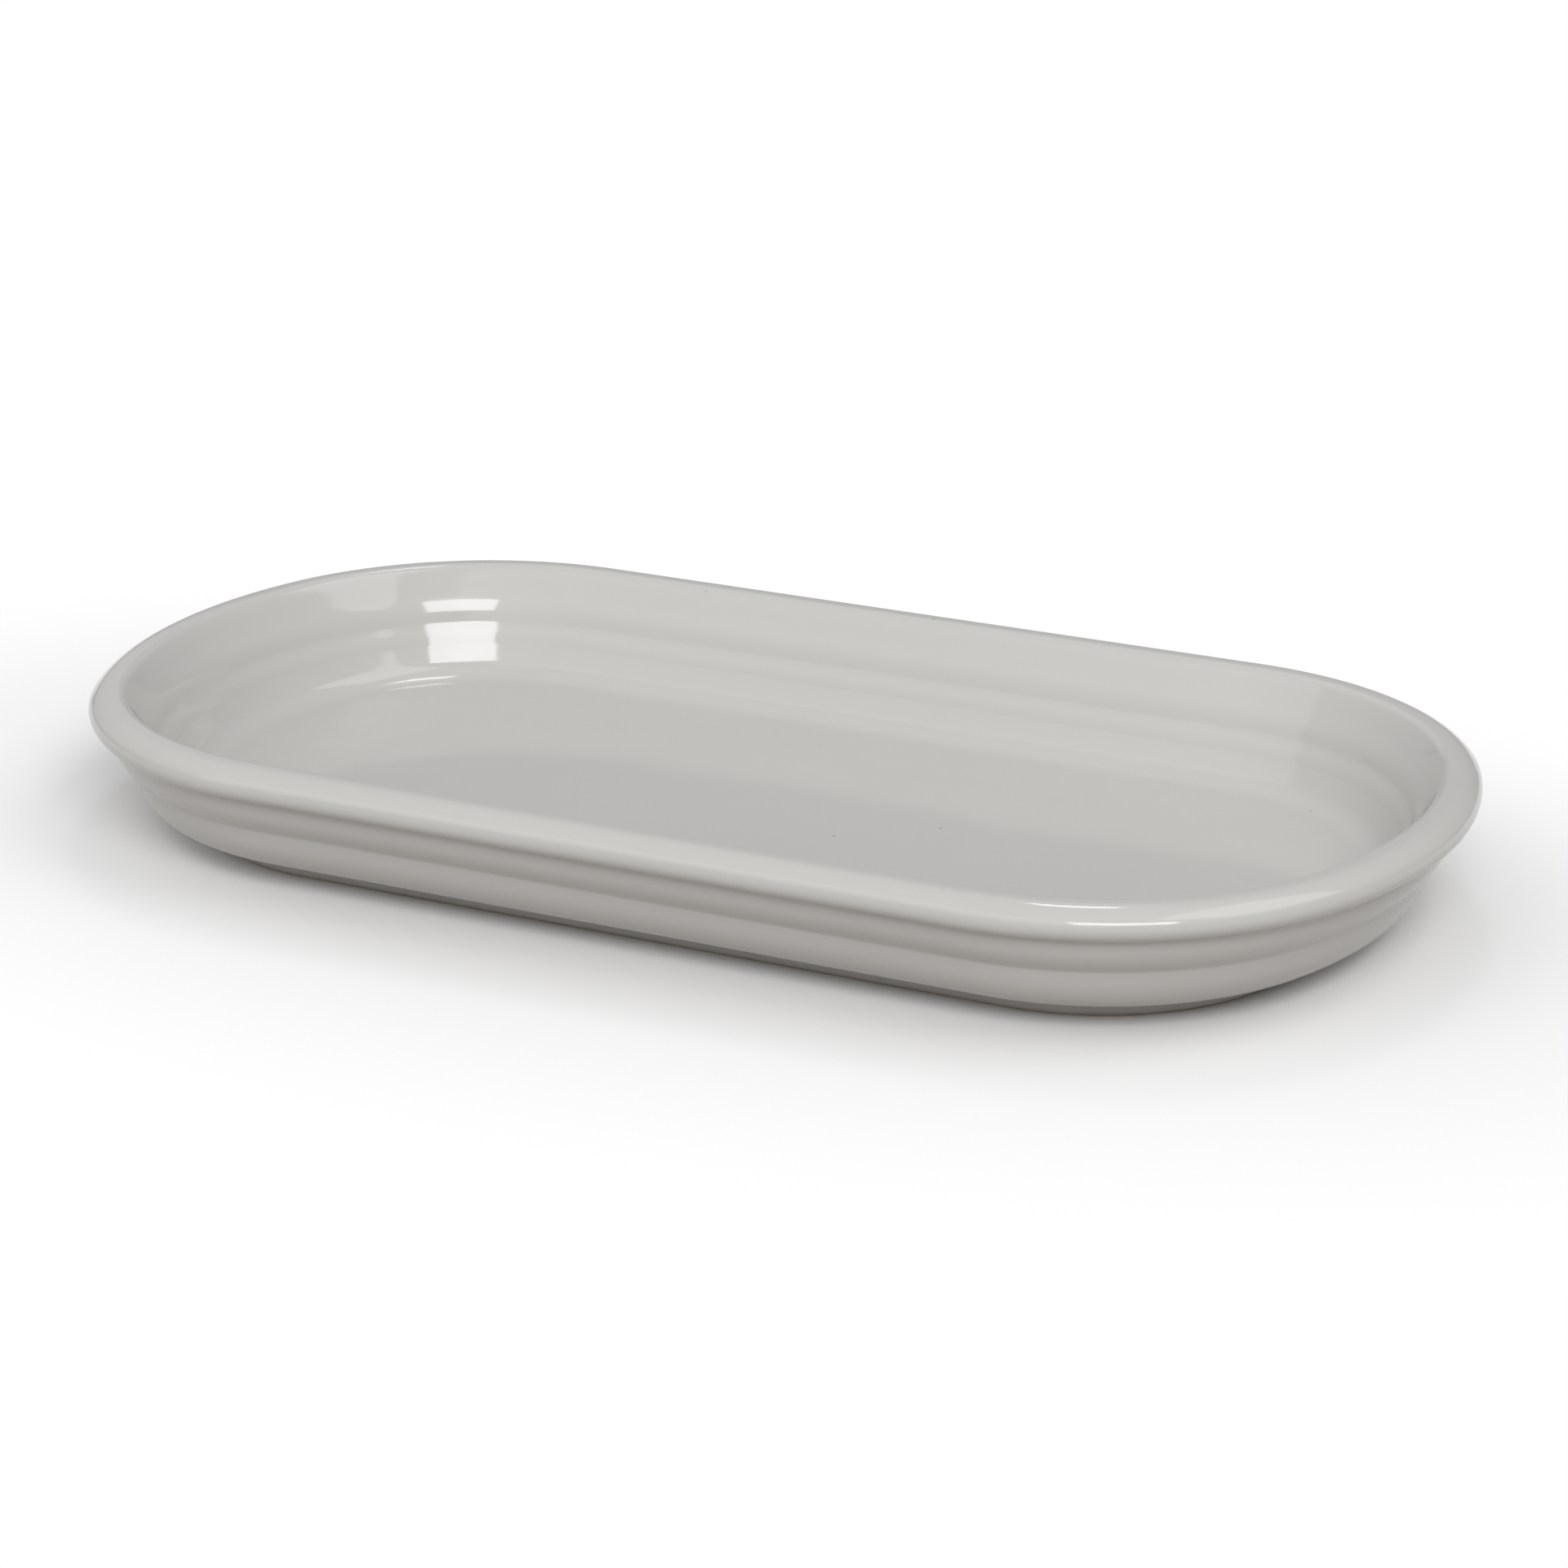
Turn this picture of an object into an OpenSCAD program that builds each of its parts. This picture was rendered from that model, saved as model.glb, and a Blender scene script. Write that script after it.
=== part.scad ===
// Oblong vegetable plate for asparagus: a pressed clay tray with bowed ends, a rolled rim,
// ribbed walls and a low foot ring. Gloss glaze covers all of it but the edge that it stands on.
// Millimetres. The origin is the middle of the resting face, X runs along the plate and Z is up.

/* [Plan] */
// Length over the rim
tray_l = 267; // [240:1:300]
// Width over the rim
tray_w = 145; // [136:1:156]
// Radius of the four corners at the rim
corner_r = 60.75; // [54:0.25:64]
// Radius of the two bowed ends at the rim
end_r = 91.3; // [86:0.1:110]

/* [Rim] */
// Height of the rim above the resting face
tray_h = 27.3; // [25:0.1:32]
// Width of the rim, from its outer face in to its inner edge
rim_w = 6.9; // [6:0.1:8]
// Rounding of the rim's inner edge
rim_edge_r = 2; // [1.2:0.1:2.4]
// Where the rim's top turns down: how far in from the outer face
crown_in = 2.8; // [1.8:0.1:3.2]
// Rounding of that turn
crown_r = 4.8; // [2:0.1:6]
// Outer face of the rim: how far down it starts
rim_face_d = 2.4; // [1.6:0.1:2.8]
// Outer face of the rim: how far down it ends
rim_d = 5; // [4.4:0.1:5.6]
// How far the outer face draws in towards its lower edge
rim_draw = 0.2; // [0:0.05:0.6]
// Rounding of the outer face's two edges
rim_r = 2.8; // [1.5:0.1:3.5]

/* [Ribs] */
// Rounding of the grooves between the ribs
groove_r = 1.6; // [0.8:0.1:2.2]
// Largest rounding of a rib's crest
crest_r = 12; // [6:0.5:16]

/* [Outer wall] */
// Groove under the rim: how far in from the rim
upper_groove_in = 3.3; // [2.4:0.1:4.2]
// Groove under the rim: how far down from the rim's top
upper_groove_d = 6.9; // [6.4:0.1:8]
// Groove under the rib: how far in from the rim
lower_groove_in = 7.1; // [6:0.1:8]
// Groove under the rib: how far down from the rim's top
lower_groove_d = 13.5; // [12:0.1:15]
// How far the rib between the grooves swells out
rib_swell = 0.8; // [0.3:0.1:1.4]
// How far the body under the grooves swells out
body_swell = 0.8; // [0:0.1:1.2]
// Turn of the body into its underside: how far in from the rim
belly_in = 11.2; // [9:0.1:12]
// Turn of the body into its underside: height
belly_h = 5.8; // [4.6:0.1:6.5]
// Rounding of that turn
belly_r = 7; // [3:0.5:9]

/* [Inner wall] */
// Shoulder under the rim's inner slope: how far in from the rim
shoulder_in = 11.5; // [10:0.1:12]
// Shoulder under the rim's inner slope: how far down from the rim's top
shoulder_d = 7.4; // [6.4:0.1:8.2]
// Rounding of the shoulder
shoulder_r = 12.5; // [4:0.5:14]
// Upper inner groove: how far in from the rim
inner_upper_in = 12.6; // [11.5:0.1:13.5]
// Upper inner groove: how far down from the rim's top
inner_upper_d = 10.6; // [9.6:0.1:11.6]
// Lower inner groove: how far in from the rim
inner_lower_in = 14.6; // [13.5:0.1:15.5]
// Lower inner groove: how far down from the rim's top
inner_lower_d = 14.6; // [13.6:0.1:15.6]
// Rounding of the inner grooves
inner_groove_r = 2.5; // [1:0.1:4]
// How far the band between the inner grooves swells out
inner_swell = 0.15; // [0.05:0.05:0.6]
// Where the wall would meet the floor without its cove: how far in from the rim
cove_in = 18; // [16.5:0.1:19]
// Radius of the cove
cove_r = 7.5; // [3:0.5:10]

/* [Floor and foot] */
// Height of the floor's upper face above the resting face
floor_h = 6.6; // [5.6:0.1:7.5]
// Height of the recess inside the foot ring
recess_h = 2.4; // [1.6:0.1:3]
// Foot ring: how far in from the rim its outer edge meets the table
foot_in = 21.1; // [19:0.1:24]
// Width of the foot ring at the table
foot_w = 5.2; // [4:0.1:8]
// Height of the foot ring's outer side
foot_h = 3.4; // [2.6:0.1:4]
// Lean of the foot ring's sides, in degrees from upright
foot_lean = 35; // [10:1:45]
// Rounding where the foot ring meets the body
foot_r = 1.2; // [0.6:0.1:2]
// Rounding of the foot ring's lower edges
foot_edge_r = 0.8; // [0.3:0.1:1]

/* [Glaze] */
// Thickness of the glaze
glaze_t = 0.5; // [0.3:0.05:0.7]
// Height of the bare edge of the foot
bare_h = 1; // [0.8:0.1:1.4]

/* [Hidden] */
// Largest turn of one flat step of a rounding in the wall's section, in degrees
section_step = 9;
// Largest turn of one step in the outline of the floor's middle, in degrees
outline_step = 12;
// Share of the shorter of two neighbouring sides that a rounding may take up
rounding_room_share = 0.48;
// How far the floor's swept edge runs on past the foot ring
floor_lap = 8;
// How far a cut runs past what it cuts
overrun = 5;
// Least distance of a corner's centre from the plate's middle line
corner_room = 4;
// Length of the lap across a seam of the sweep
lap_l = 2;
// Depths between which the glaze is lapped, as shares of its thickness
glaze_lap_shares = [0.3, 0.7];
// Depth from which the clay is lapped, as a share of the glaze's thickness
clay_lap_share = 2;
$fn = 120;

end_x = tray_l / 2 - end_r;
corner = min(corner_r, tray_w / 2 - corner_room);
corner_y = tray_w / 2 - corner;
corner_x = end_x + sqrt(pow(end_r - corner, 2) - pow(corner_y, 2));
end_turn = atan2(corner_y, corner_x - end_x);
foot_top_in = foot_in - foot_h * tan(foot_lean);
foot_inner_in = foot_in + foot_w;
recess_in = foot_inner_in + recess_h * tan(foot_lean);
glaze_set_in = glaze_t / cos(foot_lean);
sweep_in = recess_in + floor_lap;
middle_in = recess_in + floor_lap / 2;
lap_in = (middle_in + sweep_in) / 2;

// A point of the wall's section, from how far it lies in from the rim and its height
function at(inward, height) = [-inward, height];
function below_rim(inward, depth) = at(inward, tray_h - depth);
function unit(v) = v / norm(v);
function right_of(d) = [d.y, -d.x];
function turned(v, angle) = [v.x * cos(angle) - v.y * sin(angle), v.x * sin(angle) + v.y * cos(angle)];
// The crest of a rib between two grooves, to the right of the way from a to b
function crest(a, b, swell) = (a + b) / 2 + swell * right_of(unit(b - a));

// The rounding of the corner v between a and b, as points with their outward normals
function rounding(a, v, b, r) =
    let (
        d1 = unit(v - a),
        d2 = unit(b - v),
        way = d1.x * d2.y < d1.y * d2.x ? -1 : 1,
        turn = acos(min(1, d1 * d2)),
        room = rounding_room_share * min(norm(v - a), norm(b - v)),
        used = min(r * tan(turn / 2), room),
        radius = turn > 0 ? used / tan(turn / 2) : 0,
        n1 = right_of(d1),
        centre = v - used * d1 - way * radius * n1,
        steps = max(1, ceil(turn / section_step))
    )
    [for (i = [0 : steps])
        let (n = turned(n1, way * turn * i / steps))
        [centre + way * radius * n, n]];

// A path through corners given as [point, radius], with its first and last corners left sharp
function rounded(corners) =
    let (last = len(corners) - 1)
    concat(
        [[corners[0][0], right_of(unit(corners[1][0] - corners[0][0]))]],
        [for (i = [1 : last - 1])
            each rounding(corners[i - 1][0], corners[i][0], corners[i + 1][0], corners[i][1])],
        [[corners[last][0], right_of(unit(corners[last][0] - corners[last - 1][0]))]]
    );
function points_of(path) = [for (p = path) p[0]];
function under_glaze(path, depth_share = 1) = [for (p = path) p[0] - depth_share * glaze_t * p[1]];
function but_first(path) = [for (i = [1 : len(path) - 1]) path[i]];
function but_last(path) = [for (i = [0 : len(path) - 2]) path[i]];
function backwards(points) = [for (i = [len(points) - 1 : -1 : 0]) points[i]];

// The glazed upper surface, from the bare edge of the foot up the outside, over the rim and in to the floor
function upper_path(reach) =
    let (
        belly = at(belly_in, belly_h),
        lower_groove = below_rim(lower_groove_in, lower_groove_d),
        upper_groove = below_rim(upper_groove_in, upper_groove_d),
        inner_upper = below_rim(inner_upper_in, inner_upper_d),
        inner_lower = below_rim(inner_lower_in, inner_lower_d)
    )
    rounded([
        [at(foot_in - bare_h * tan(foot_lean), bare_h), 0],
        [at(foot_top_in, foot_h), foot_r],
        [belly, belly_r],
        [crest(belly, lower_groove, body_swell), crest_r],
        [lower_groove, groove_r],
        [crest(lower_groove, upper_groove, rib_swell), crest_r],
        [upper_groove, groove_r],
        [below_rim(rim_draw, rim_d), rim_r],
        [below_rim(0, rim_face_d), rim_r],
        [at(crown_in, tray_h), crown_r],
        [at(rim_w, tray_h), rim_edge_r],
        [below_rim(shoulder_in, shoulder_d), shoulder_r],
        [inner_upper, inner_groove_r],
        [crest(inner_upper, inner_lower, inner_swell), crest_r],
        [inner_lower, inner_groove_r],
        [at(cove_in, floor_h), cove_r],
        [at(reach, floor_h), 0]
    ]);

// The glazed underside inside the foot ring, from the middle out to the bare edge of the foot
function lower_path(reach) = rounded([
    [at(reach, recess_h), 0],
    [at(recess_in, recess_h), foot_r],
    [at(foot_inner_in + bare_h * tan(foot_lean), bare_h), 0]
]);

// The bare lower edge of the foot ring, between the two glaze lines
function foot_edge(from, to) = points_of(rounded([
    [from, 0],
    [at(foot_inner_in - glaze_set_in, 0), foot_edge_r],
    [at(foot_in + glaze_set_in, 0), foot_edge_r],
    [to, 0]
]));

module clay_section() {
    upper = under_glaze(upper_path(sweep_in));
    lower = under_glaze(lower_path(sweep_in));
    polygon(concat(upper, lower, foot_edge(lower[len(lower) - 1], upper[0])));
}

module coat_section(path) {
    polygon(concat(points_of(path), backwards(under_glaze(path))));
}

// Sections inside the clay and inside a glaze, clear of the bare foot
module clay_lap_section() {
    upper = but_first(upper_path(lap_in));
    lower = but_last(lower_path(lap_in));
    polygon(concat(under_glaze(upper, clay_lap_share), under_glaze(lower, clay_lap_share)));
}

module coat_lap_section(path) {
    outer = under_glaze(path, glaze_lap_shares[0]);
    inner = under_glaze(path, glaze_lap_shares[1]);
    polygon(concat(outer, backwards(inner)));
}

// The plate's outline in plan, set in from the rim
function arc_points(centre, r, from, to) =
    let (steps = ceil((to - from) / outline_step))
    [for (i = [0 : steps]) centre + turned([r, 0], from + (to - from) * i / steps)];
function quarter(inset) = concat(
    arc_points([end_x, 0], end_r - inset, 0, end_turn),
    arc_points([corner_x, corner_y], corner - inset, end_turn, 90)
);
function half(inset) = concat(quarter(inset), backwards([for (p = quarter(inset)) [-p.x, p.y]]));
function outline(inset) = concat(half(inset), [for (p = half(inset)) -p]);

// The stretch of plan that one bowed end takes up
module end_stretch() {
    reach = ceil(end_r / (corner_x - end_x)) + 1;
    tip = [end_x, 0];
    far = [end_x + reach * (corner_x - end_x), reach * corner_y];
    translate([0, 0, -overrun])
        linear_extrude(tray_h + 2 * overrun)
            polygon([tip, [far.x, -far.y], far]);
}

// Sweeps a section around the plate's outline
module swept() {
    for (left = [0, 1]) mirror([left, 0, 0]) {
        intersection() {
            translate([end_x, 0, 0])
                rotate_extrude(angle = 180, start = -90) translate([end_r, 0]) children();
            end_stretch();
        }
        for (front = [0, 1]) mirror([0, front, 0]) difference() {
            translate([corner_x, corner_y, 0])
                rotate_extrude(angle = 90, start = 0) translate([corner, 0]) children();
            end_stretch();
        }
    }
    for (front = [0, 1]) mirror([0, front, 0])
        translate([-corner_x, corner_y, 0])
            rotate([90, 0, 90]) linear_extrude(2 * corner_x) translate([corner, 0]) children();
}

// Laps the seams between the sweep's ends and corners with a section that lies inside the swept one
module seam_laps() {
    for (left = [0, 1]) mirror([left, 0, 0])
        for (front = [0, 1]) mirror([0, front, 0])
            translate([end_x, 0, 0]) rotate([90, 0, end_turn])
                linear_extrude(lap_l, center = true) translate([end_r, 0]) children();
}

// The flat middle of a layer, from one height to another
module middle(from, to) {
    translate([0, 0, from]) linear_extrude(to - from) polygon(outline(middle_in));
}

// Fired clay: the floor, ribbed wall, rim and foot ring in one piece
module clay_body() {
    color("tan") {
        swept() clay_section();
        seam_laps() clay_lap_section();
        middle(recess_h + glaze_t, floor_h - glaze_t);
    }
}

// Glaze over the outside, the rim and the inside
module glaze_coat() {
    color("gainsboro") {
        swept() coat_section(upper_path(sweep_in));
        seam_laps() coat_lap_section(but_first(upper_path(lap_in)));
        middle(floor_h - glaze_t, floor_h);
    }
}

// Glaze inside the foot ring
module underside_glaze() {
    color("lightgray") {
        swept() coat_section(lower_path(sweep_in));
        seam_laps() coat_lap_section(but_last(lower_path(lap_in)));
        middle(recess_h, recess_h + glaze_t);
    }
}

clay_body();
glaze_coat();
underside_glaze();
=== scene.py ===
"""Looks of an oblong plate for asparagus: a pressed clay tray under a pale grey gloss glaze.

The clay body is the CAD model's own. The two glazes are modelled again, with finer steps round
the corners and through the ribs, a floor that is a little uneven, and a closed wall.
"""
import math

import bpy
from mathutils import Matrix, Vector


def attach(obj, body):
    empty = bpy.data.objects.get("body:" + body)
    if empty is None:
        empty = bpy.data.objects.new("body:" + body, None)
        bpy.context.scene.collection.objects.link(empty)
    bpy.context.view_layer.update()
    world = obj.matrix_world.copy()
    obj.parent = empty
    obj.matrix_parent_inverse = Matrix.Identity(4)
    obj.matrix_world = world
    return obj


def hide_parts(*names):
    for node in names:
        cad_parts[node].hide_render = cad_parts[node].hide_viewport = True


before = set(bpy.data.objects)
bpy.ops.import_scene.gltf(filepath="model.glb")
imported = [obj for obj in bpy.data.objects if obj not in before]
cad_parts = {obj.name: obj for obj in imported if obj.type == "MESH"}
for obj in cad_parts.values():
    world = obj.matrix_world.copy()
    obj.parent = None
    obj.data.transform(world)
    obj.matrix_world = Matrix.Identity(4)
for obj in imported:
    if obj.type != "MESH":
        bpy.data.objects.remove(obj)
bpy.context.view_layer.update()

# The plate's own sizes are in millimetres, and those of the studio in metres
MM = 0.001

# Plan, at the rim
TRAY_L = 267.0
TRAY_W = 145.0
CORNER_R = 60.75
END_R = 91.3
END_X = TRAY_L / 2 - END_R
CORNER_Y = TRAY_W / 2 - CORNER_R
CORNER_X = END_X + math.sqrt((END_R - CORNER_R) ** 2 - CORNER_Y ** 2)
END_TURN = math.atan2(CORNER_Y, CORNER_X - END_X)

# Section through the wall: each corner is how far it lies in from the rim, and its height
BARE_OUTSIDE = (20.40, 1.0)
FOOT_TOP = (18.72, 3.4)
BELLY = (11.2, 5.8)
LOWER_GROOVE = (7.1, 13.8)
UPPER_GROOVE = (3.3, 20.4)
RIM_FOOT = (0.22, 22.3)
RIM_OUTSIDE = (0.02, 24.9)
RIM_CROWN = (2.8, 27.29)
RIM_INSIDE = (6.9, 27.29)
SHOULDER = (11.5, 19.9)
INNER_UPPER = (12.6, 16.7)
INNER_LOWER = (14.6, 12.7)
COVE = (18.0, 6.6)
FLOOR_EDGE = (40.0, 6.6)
RECESS = (27.98, 2.4)
BARE_INSIDE = (27.0, 1.0)
RECESS_EDGE = (40.0, 2.4)

# Roundings of those corners, and how far the ribs swell between their grooves
FOOT_R = 1.2
BELLY_R = 7
GROOVE_R = 1.6
CREST_R = 12
RIM_R = 2.8
CROWN_R = 4.8
RIM_EDGE_R = 2
SHOULDER_R = 12.5
INNER_GROOVE_R = 2.5
COVE_R = 7.5
RIB_SWELL = 0.8
INNER_SWELL = 0.15

# Fineness of the glaze sheets
SECTION_TURN = math.radians(6)
ROOM_SHARE = 0.48
UPPER_STEP = 1.6
UNDER_STEP = 2.5
END_STEPS = 8
CORNER_STEPS = 24
SIDE_STEPS = 16
FLOOR_RINGS = (5, 10, 15, 20, 25, 29)
SEAM_WELD = 0.002
PLANE_WELD = 0.01
EDGE_SLACK = 0.1

# The glaze: its thickness, how far it thickens round a groove and thins round a ridge
GLAZE_T = 0.42
POOL_SHARE = 0.5
POOL_REACH = 1.5
THIN_REACH = 2.2
CREASE = math.radians(50)

# Soft swells of the floor, each its place along and across the plate, its rise and its reach
FLOOR_SWELLS = (
    (-78, 36, 0.2, 32), (-40, 40, 0.22, 32), (-8, 40, 0.34, 32), (24, 40, 0.3, 32),
    (56, 40, 0.16, 32), (86, 36, 0.22, 30), (-60, -34, 0.18, 34), (8, -38, 0.12, 32),
    (70, -30, 0.16, 36),
)
FLOOR_MIDDLE = 30
FLOOR_SLACK = 1.5

# Colours
GLAZE_THIN = (0.563, 0.557, 0.541, 1)
GLAZE_DEEP = (0.523, 0.516, 0.5, 1)
PINHOLE = (0.17, 0.155, 0.135, 1)
CLAY_PALE = (0.62, 0.56, 0.47, 1)
CLAY_DARK = (0.52, 0.46, 0.38, 1)
CLAY_GRAIN = (0.3, 0.26, 0.21, 1)
FLOOR_BOUNCE = (0.44, 0.41, 0.385, 1)
FLOOR_SEEN = (0.94, 0.94, 0.94, 1)
STUDIO_GREY = (0.32, 0.32, 0.32, 1)

# Camera, fitted to the rim, ribs and foot in the photograph
AZIMUTH = math.radians(26.5432)
ELEVATION = math.radians(19.4951)
TARGET = Vector((15.637, -25.128, 23.8)) * MM
DISTANCE = 820.93 * MM
SENSOR = 36
FOCAL_SHARE = 5628.08 / 1932

# Soft lights: name, place, the point it faces, size and watts
PLATE_MIDDLE = (0, 0, 0.02)
FRONT_CORNER = (0.07, -0.06, 0.02)
LAMPS = (
    ("key_box", (1.386, -1.974, 1.8), PLATE_MIDDLE, (1.6, 1.0), 38),
    ("front_wall", (-0.4, -2.26, 1.61), PLATE_MIDDLE, (4.5, 2.4), 25),
    ("left_wall", (-1.89, 0, 1.48), PLATE_MIDDLE, (6, 3), 13),
    ("right_panel", (1.36, 0.24, 1.97), PLATE_MIDDLE, (1.8, 1.4), 13),
    ("strip_box", (-0.26, 0.68, 1.41), FRONT_CORNER, (0.22, 0.3), 1.3),
)
STUDIO_SIZE = 8
STUDIO_DROP = 0.0001


def unit(v):
    length = math.hypot(*v)
    return (v[0] / length, v[1] / length)


def crest(a, b, swell):
    """The crest of a rib between two grooves, on the outer side of the way from a to b."""
    d = unit((b[0] - a[0], b[1] - a[1]))
    return ((a[0] + b[0]) / 2 - swell * d[1], (a[1] + b[1]) / 2 + swell * d[0])


def rounding(a, v, b, radius):
    """The points of a rounding of the corner v between a and b."""
    d1 = unit((v[0] - a[0], v[1] - a[1]))
    d2 = unit((b[0] - v[0], b[1] - v[1]))
    turn = math.acos(max(-1.0, min(1.0, d1[0] * d2[0] + d1[1] * d2[1])))
    room = ROOM_SHARE * min(math.dist(a, v), math.dist(v, b))
    used = min(radius * math.tan(turn / 2), room)
    radius = used / math.tan(turn / 2)
    side = 1 if d1[0] * d2[1] > d1[1] * d2[0] else -1
    normal = (-side * d1[1], side * d1[0])
    start = (v[0] - used * d1[0], v[1] - used * d1[1])
    centre = (start[0] + radius * normal[0], start[1] + radius * normal[1])
    arm = (start[0] - centre[0], start[1] - centre[1])
    steps = max(2, math.ceil(turn / SECTION_TURN))
    points = []
    for i in range(steps + 1):
        angle = side * turn * i / steps
        points.append((centre[0] + arm[0] * math.cos(angle) - arm[1] * math.sin(angle),
                       centre[1] + arm[0] * math.sin(angle) + arm[1] * math.cos(angle)))
    return points


def section(corners, longest):
    """The path through corners given as (point, radius), in steps no longer than the longest."""
    path = [corners[0][0]]
    for before, here, after in zip(corners, corners[1:], corners[2:]):
        path += rounding(before[0], here[0], after[0], here[1])
    path.append(corners[-1][0])
    fine = [path[0]]
    for a, b in zip(path, path[1:]):
        steps = max(1, math.ceil(math.dist(a, b) / longest))
        fine += [(a[0] + (b[0] - a[0]) * i / steps, a[1] + (b[1] - a[1]) * i / steps)
                 for i in range(1, steps + 1)]
    return fine


RIBS = (
    (crest(BELLY, LOWER_GROOVE, RIB_SWELL), CREST_R),
    (crest(LOWER_GROOVE, UPPER_GROOVE, RIB_SWELL), CREST_R),
    (SHOULDER, SHOULDER_R),
    (crest(INNER_UPPER, INNER_LOWER, INNER_SWELL), CREST_R),
)
UPPER_SECTION = section([
    (BARE_OUTSIDE, 0), (FOOT_TOP, FOOT_R), (BELLY, BELLY_R), RIBS[0], (LOWER_GROOVE, GROOVE_R),
    RIBS[1], (UPPER_GROOVE, GROOVE_R), (RIM_FOOT, RIM_R), (RIM_OUTSIDE, RIM_R),
    (RIM_CROWN, CROWN_R), (RIM_INSIDE, RIM_EDGE_R), RIBS[2], (INNER_UPPER, INNER_GROOVE_R),
    RIBS[3], (INNER_LOWER, INNER_GROOVE_R), (COVE, COVE_R), (FLOOR_EDGE, 0),
], UPPER_STEP)
UNDER_SECTION = section([(BARE_INSIDE, 0), (RECESS, FOOT_R), (RECESS_EDGE, 0)], UNDER_STEP)


def edit_mesh(piece):
    """Opens a piece for editing with nothing else selected."""
    bpy.ops.object.select_all(action="DESELECT")
    bpy.context.view_layer.objects.active = piece
    piece.select_set(True)
    bpy.ops.object.mode_set(mode="EDIT")
    bpy.ops.mesh.select_mode(type="VERT")


def pick(piece, wanted):
    """Selects the corners of a piece that the given test accepts."""
    bpy.ops.mesh.select_all(action="DESELECT")
    bpy.ops.object.mode_set(mode="OBJECT")
    for v in piece.data.vertices:
        v.select = wanted(v.co)
    bpy.ops.object.mode_set(mode="EDIT")
    bpy.ops.mesh.select_mode(type="VERT")


def extrude_by(x, y, z):
    bpy.ops.mesh.extrude_region_move(TRANSFORM_OT_translate={"value": (x * MM, y * MM, z * MM)})


def inset_of(x, y):
    """How far a point of the plan lies in from the rim, in millimetres."""
    x, y = abs(x) / MM, abs(y) / MM
    if x > END_X and math.atan2(y, x - END_X) <= END_TURN:
        return END_R - math.hypot(x - END_X, y)
    if x > CORNER_X:
        return CORNER_R - math.hypot(x - CORNER_X, y - CORNER_Y)
    return TRAY_W / 2 - y


def glaze_sheet(name, path, up):
    """Sweeps a section round the plate and closes the middle with shrinking rings."""
    bpy.ops.object.select_all(action="DESELECT")
    bpy.ops.mesh.primitive_plane_add(size=MM)
    piece = bpy.context.object
    piece.name = name
    edit_mesh(piece)
    bpy.ops.mesh.merge(type="CENTER")
    bpy.ops.transform.translate(value=((TRAY_L / 2 - path[0][0]) * MM, 0, path[0][1] * MM))
    for a, b in zip(path, path[1:]):
        extrude_by(a[0] - b[0], 0, b[1] - a[1])
    # Half of one bowed end, one corner and half of one long side
    bpy.ops.mesh.select_all(action="SELECT")
    bpy.ops.mesh.spin(steps=END_STEPS, angle=-END_TURN, center=(END_X * MM, 0, 0), axis=(0, 0, 1))
    bpy.ops.mesh.spin(steps=CORNER_STEPS, angle=END_TURN - math.pi / 2,
                      center=(CORNER_X * MM, CORNER_Y * MM, 0), axis=(0, 0, 1))
    for _ in range(SIDE_STEPS):
        extrude_by(-CORNER_X / SIDE_STEPS, 0, 0)
    bpy.ops.mesh.select_all(action="SELECT")
    bpy.ops.mesh.remove_doubles(threshold=SEAM_WELD * MM)
    bpy.ops.object.mode_set(mode="OBJECT")
    mirror = piece.modifiers.new("other_quarters", "MIRROR")
    mirror.use_axis = (True, True, False)
    mirror.use_clip = True
    mirror.merge_threshold = PLANE_WELD * MM
    bpy.ops.object.modifier_apply(modifier=mirror.name)
    # The floor's middle, ring by ring down to its middle line
    edge, height = path[-1]
    bpy.ops.object.mode_set(mode="EDIT")
    pick(piece, lambda co: abs(co.z - height * MM) < PLANE_WELD * MM
         and abs(inset_of(co.x, co.y) - edge) < EDGE_SLACK)
    half_l, half_w = TRAY_L / 2 - edge, TRAY_W / 2 - edge
    shrunk = 0
    for ring in FLOOR_RINGS:
        bpy.ops.mesh.extrude_region_move()
        bpy.ops.transform.resize(center_override=(0, 0, 0), value=(
            (half_l - ring) / (half_l - shrunk), (half_w - ring) / (half_w - shrunk), 1))
        shrunk = ring
    bpy.ops.mesh.extrude_region_move()
    bpy.ops.transform.resize(center_override=(0, 0, 0), value=(1, 0, 1))
    bpy.ops.mesh.select_all(action="SELECT")
    bpy.ops.mesh.remove_doubles(threshold=PLANE_WELD * MM)
    bpy.ops.mesh.normals_make_consistent(inside=False)
    bpy.ops.object.mode_set(mode="OBJECT")
    middle = min(piece.data.polygons, key=lambda p: p.center.xy.length)
    if (middle.normal.z > 0) != up:
        edit_mesh(piece)
        bpy.ops.mesh.select_all(action="SELECT")
        bpy.ops.mesh.flip_normals()
        bpy.ops.object.mode_set(mode="OBJECT")
    return piece


def swell_floor(piece, swells):
    """Lifts a sheet's floor in soft wide swells, each an (x, y, rise, reach)."""
    for x, y, rise, reach in swells:
        edit_mesh(piece)
        corners = piece.data.vertices
        floor = max(v.co.z for v in corners if v.co.xy.length < FLOOR_MIDDLE * MM)
        near = min((v.co for v in corners if abs(v.co.z - floor) < FLOOR_SLACK * MM),
                   key=lambda co: math.dist(co.xy, (x * MM, y * MM))).copy()
        pick(piece, lambda co: (co - near).length < SEAM_WELD * MM / 2)
        bpy.ops.transform.translate(
            value=(0, 0, rise * MM), use_proportional_edit=True,
            proportional_edit_falloff="SMOOTH", proportional_size=reach * MM)
        bpy.ops.object.mode_set(mode="OBJECT")


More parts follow.
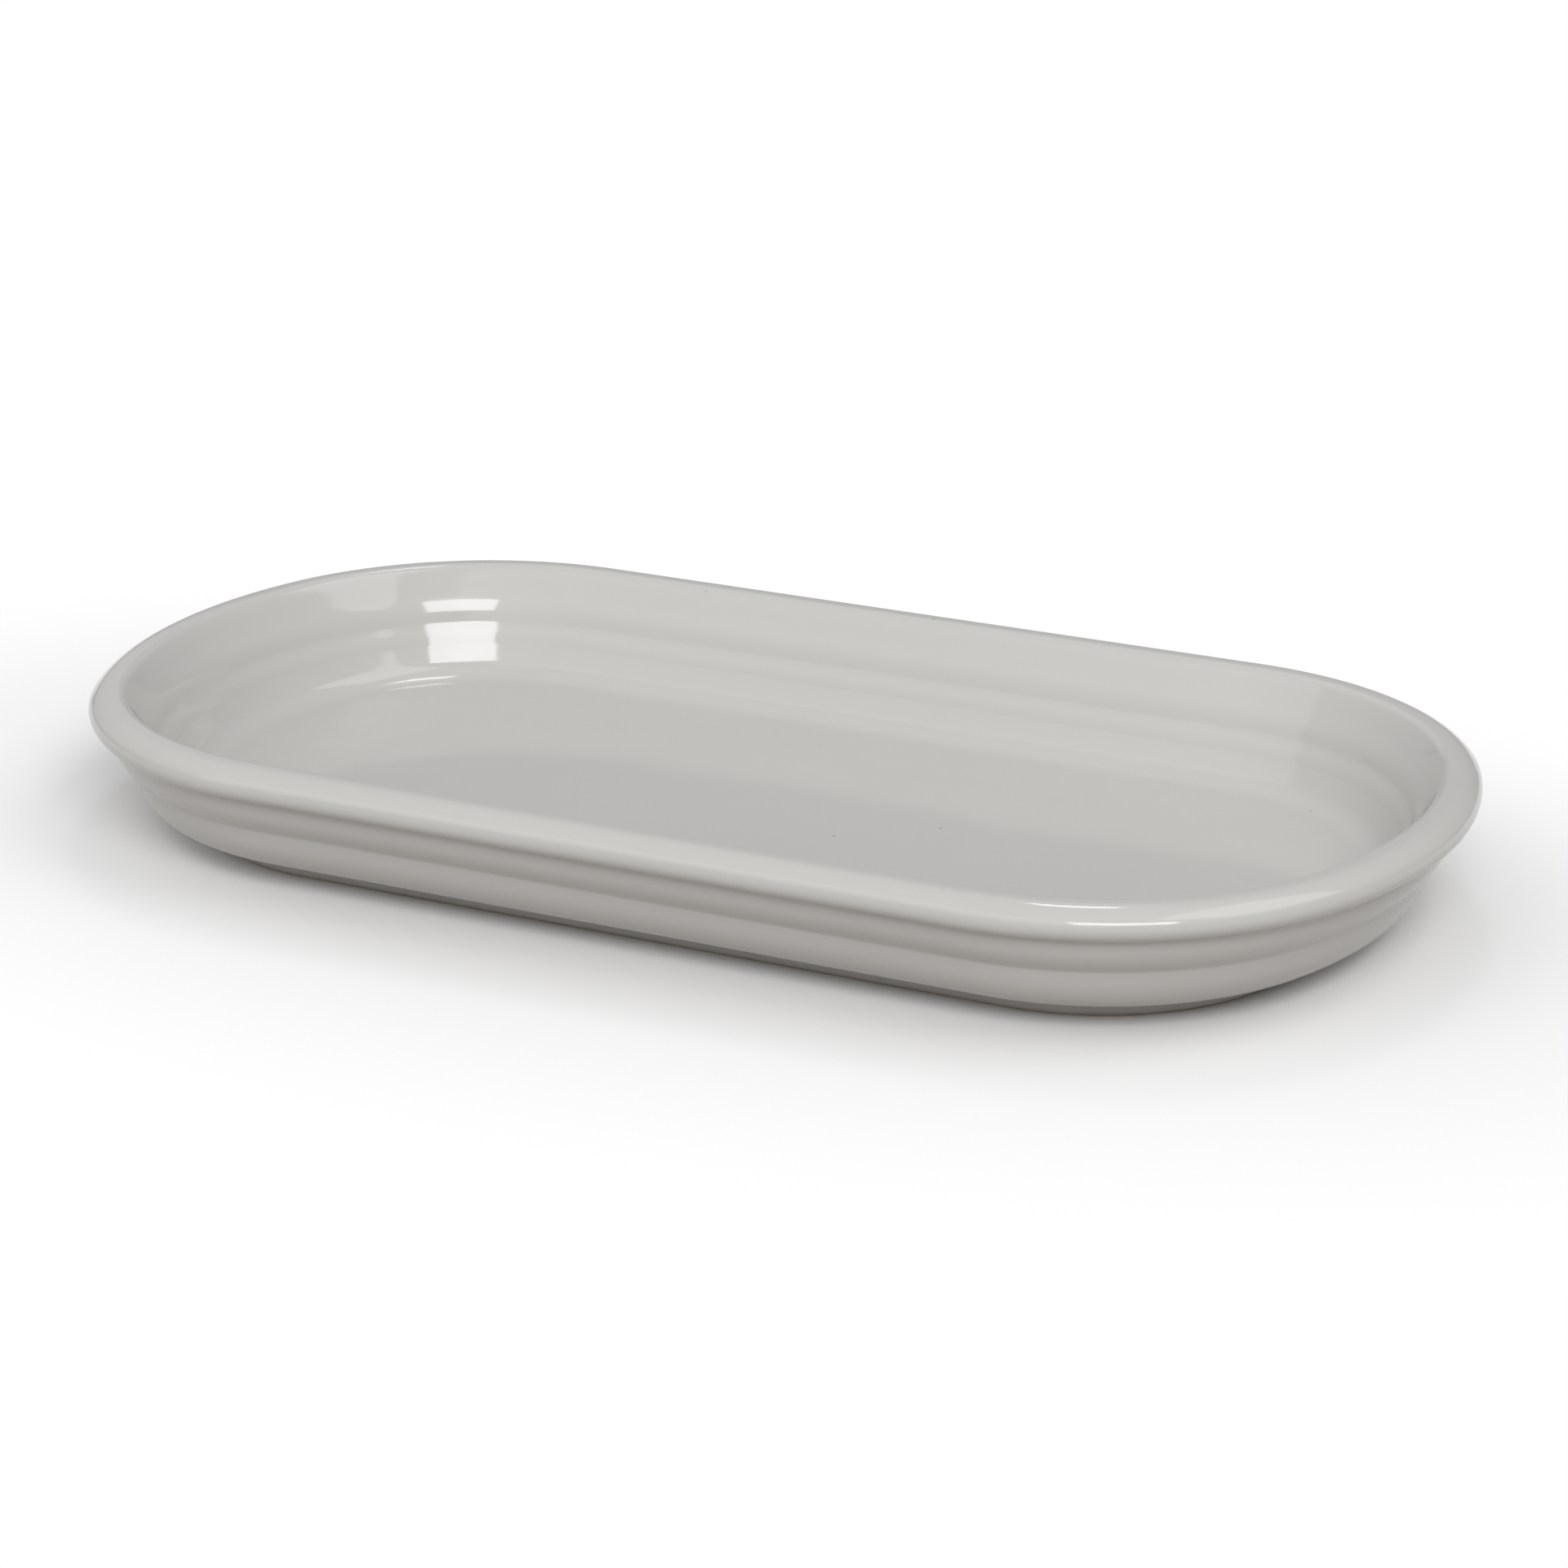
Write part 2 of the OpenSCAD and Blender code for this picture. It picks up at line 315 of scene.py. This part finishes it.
def mark_pooling(piece, hollows, ridges):
    """Stores how thick the fired glaze lies: 1 in the grooves, 0 on the ridges, 0.5 elsewhere."""
    depth = piece.data.attributes.new("pooling", "FLOAT", "POINT")
    for v in piece.data.vertices:
        here = (inset_of(v.co.x, v.co.y), v.co.z / MM)
        value = 0.5
        for at, share, reach in ((hollows, POOL_SHARE, POOL_REACH),
                                 (ridges, -POOL_SHARE, THIN_REACH)):
            near = min((math.dist(here, p) for p in at), default=math.inf)
            value += share * math.exp(-(near / reach) ** 2)
        depth.data[v.index].value = value


def close_wall(piece):
    """Gives a glaze sheet its thickness, inwards, and smooth shading up to its bare edge."""
    bpy.ops.object.select_all(action="DESELECT")
    bpy.context.view_layer.objects.active = piece
    piece.select_set(True)
    wall = piece.modifiers.new("wall", "SOLIDIFY")
    wall.thickness = GLAZE_T * MM
    wall.offset = -1
    wall.use_even_offset = True
    bpy.ops.object.modifier_apply(modifier=wall.name)
    bpy.ops.object.shade_smooth_by_angle(angle=CREASE)


class Value:
    """A number that changes over a surface. Sums and products of it add Math nodes."""

    def __init__(self, finish, socket):
        self.finish = finish
        self.socket = socket

    def math(self, operation, *others):
        made = self.finish.node("ShaderNodeMath", {"operation": operation},
                                dict(enumerate((self,) + others)))
        return Value(self.finish, made.outputs[0])

    def __add__(self, other):
        return self.math("ADD", other)

    def __mul__(self, other):
        return self.math("MULTIPLY", other)

    def __sub__(self, other):
        return self.math("SUBTRACT", other)

    def __rsub__(self, other):
        return (self * -1) + other

    def __lt__(self, other):
        return self.math("LESS_THAN", other)

    __radd__ = __add__
    __rmul__ = __mul__


class Finish:
    """A material under construction."""

    def __init__(self, name):
        self.material = bpy.data.materials.new(name)
        self.material.use_nodes = True
        self.tree = self.material.node_tree
        self.tree.nodes.clear()

    def node(self, kind, settings=None, sockets=None):
        made = self.tree.nodes.new(kind)
        for key, value in (settings or {}).items():
            setattr(made, key, value)
        for key, value in (sockets or {}).items():
            if isinstance(value, Value):
                value = value.socket
            if isinstance(value, bpy.types.NodeSocket):
                self.tree.links.new(value, made.inputs[key])
            else:
                made.inputs[key].default_value = value
        return made

    def noise(self, place, scale, detail):
        made = self.node("ShaderNodeTexNoise", None, {
            "Vector": place, "Scale": scale, "Detail": detail, "Roughness": 0.5})
        return Value(self, made.outputs["Fac"])

    def mix(self, share, a, b):
        made = self.node("ShaderNodeMix", {"data_type": "RGBA"}, {0: share, 6: a, 7: b})
        return made.outputs[2]

    def surface(self, sockets):
        shader = self.node("ShaderNodeBsdfPrincipled", None, sockets)
        self.node("ShaderNodeOutputMaterial", None, {"Surface": shader.outputs[0]})
        return self.material


def gloss_glaze():
    """Pale warm grey gloss: a touch deeper where it pools, with pinholes and a faint ripple."""
    f = Finish("gloss_glaze")
    place = f.node("ShaderNodeTexCoord").outputs["Object"]
    pooling = Value(f, f.node("ShaderNodeAttribute", {"attribute_name": "pooling"}).outputs["Fac"])
    cloud = f.noise(place, 24, 2)
    fleck = f.noise(place, 900, 1)
    deep = pooling * 0.55 + cloud * 0.5 - 0.2
    colour = f.mix(deep, GLAZE_THIN, GLAZE_DEEP)
    cells = f.node("ShaderNodeTexVoronoi", {"feature": "F1"},
                   {"Vector": place, "Scale": 70, "Randomness": 1})
    pinhole = Value(f, cells.outputs["Distance"]) < 0.022
    colour = f.mix(pinhole * 0.55, colour, PINHOLE)
    ripple = f.noise(place, 75, 1) * 0.8 + fleck * 0.02
    bump = f.node("ShaderNodeBump", None, {
        "Strength": 1.0, "Distance": 0.00004, "Height": ripple})
    return f.surface({
        "Base Color": colour, "Roughness": cloud * 0.04 + 0.06, "IOR": 1.5,
        "Normal": bump.outputs[0]})


def bare_clay():
    """Fired clay without glaze: matte, pale buff, with fine grain and a little kiln dust."""
    f = Finish("bare_clay")
    place = f.node("ShaderNodeTexCoord").outputs["Object"]
    patch = f.noise(place, 60, 3)
    grain = f.noise(place, 1400, 2)
    colour = f.mix(patch, CLAY_PALE, CLAY_DARK)
    colour = f.mix((grain < 0.36) * 0.35, colour, CLAY_GRAIN)
    bump = f.node("ShaderNodeBump", None, {
        "Strength": 1.0, "Distance": 0.00012, "Height": grain})
    return f.surface({
        "Base Color": colour, "Roughness": 0.86, "Normal": bump.outputs[0]})


def pale_floor():
    """White to the eye and in reflections, but a mid grey to the light that bounces off it.

    Round the plate it shows the plate's shadow; farther out it fades to an even white.
    """
    f = Finish("pale_floor")
    path = f.node("ShaderNodeLightPath").outputs
    seen = Value(f, path["Is Camera Ray"]) + Value(f, path["Is Glossy Ray"])
    seen = seen + Value(f, path["Is Transmission Ray"])
    colour = f.mix(seen, FLOOR_BOUNCE, FLOOR_SEEN)
    lit = f.node("ShaderNodeBsdfPrincipled", None, {
        "Base Color": colour, "Roughness": 0.9, "Specular IOR Level": 0.1})
    place = f.node("ShaderNodeTexCoord").outputs["Object"]
    oval = f.node("ShaderNodeVectorMath", {"operation": "MULTIPLY"}, {0: place, 1: (0.58, 1, 1)})
    away = f.node("ShaderNodeVectorMath", {"operation": "LENGTH"}, {0: oval.outputs["Vector"]})
    far = f.node("ShaderNodeMapRange", {"interpolation_type": "SMOOTHSTEP"}, {
        "Value": away.outputs["Value"], "From Min": 0.07, "From Max": 0.15})
    white = f.node("ShaderNodeEmission", None, {"Color": (1, 1, 1, 1), "Strength": 1})
    both = f.node("ShaderNodeMixShader", None, {
        0: Value(f, far.outputs["Result"]) * seen, 1: lit.outputs[0], 2: white.outputs[0]})
    f.node("ShaderNodeOutputMaterial", None, {"Surface": both.outputs[0]})
    return f.material


def dress(piece, material):
    piece.data.materials.clear()
    piece.data.materials.append(material)


def soft_box(name, place, target, size, watts):
    """A rectangular soft light that faces a point."""
    bpy.ops.object.light_add(type="AREA", location=place)
    lamp = bpy.context.object
    lamp.name = name
    lamp.data.shape = "RECTANGLE"
    lamp.data.size, lamp.data.size_y = size
    lamp.data.energy = watts
    aim = Vector(target) - Vector(place)
    lamp.rotation_euler = aim.to_track_quat("-Z", "Y").to_euler()


# Camera
BACK = Vector((math.sin(AZIMUTH) * math.cos(ELEVATION),
               -math.cos(AZIMUTH) * math.cos(ELEVATION), math.sin(ELEVATION)))
bpy.ops.object.camera_add(location=TARGET + DISTANCE * BACK,
                          rotation=(-BACK).to_track_quat("-Z", "Y").to_euler())
camera = bpy.context.object
camera.data.sensor_width = SENSOR
camera.data.lens = SENSOR * FOCAL_SHARE
bpy.context.scene.camera = camera

# The plate
glaze = gloss_glaze()
coat = glaze_sheet("smooth_glaze_coat", UPPER_SECTION, up=True)
swell_floor(coat, FLOOR_SWELLS)
mark_pooling(coat, (LOWER_GROOVE, UPPER_GROOVE, INNER_UPPER, INNER_LOWER, FOOT_TOP),
             [rib[0] for rib in RIBS] + [RIM_OUTSIDE, RIM_INSIDE])
under = glaze_sheet("smooth_underside_glaze", UNDER_SECTION, up=False)
mark_pooling(under, (RECESS,), ())
for piece, node, slot in ((coat, "glaze_coat", "gloss_glaze"),
                          (under, "underside_glaze", "underside_gloss_glaze")):
    close_wall(piece)
    dress(piece, glaze)
    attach(piece, "root")
    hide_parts(node)
dress(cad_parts["clay_body"], bare_clay())

# Studio
bpy.ops.mesh.primitive_plane_add(size=STUDIO_SIZE, location=(0, 0, -STUDIO_DROP))
floor = bpy.context.object
floor.name = "studio_floor"
dress(floor, pale_floor())
for lamp in LAMPS:
    soft_box(*lamp)
world = bpy.data.worlds.new("studio")
world.use_nodes = True
world.node_tree.nodes["Background"].inputs[0].default_value = STUDIO_GREY
bpy.context.scene.world = world
bpy.context.scene.view_settings.view_transform = "Standard"
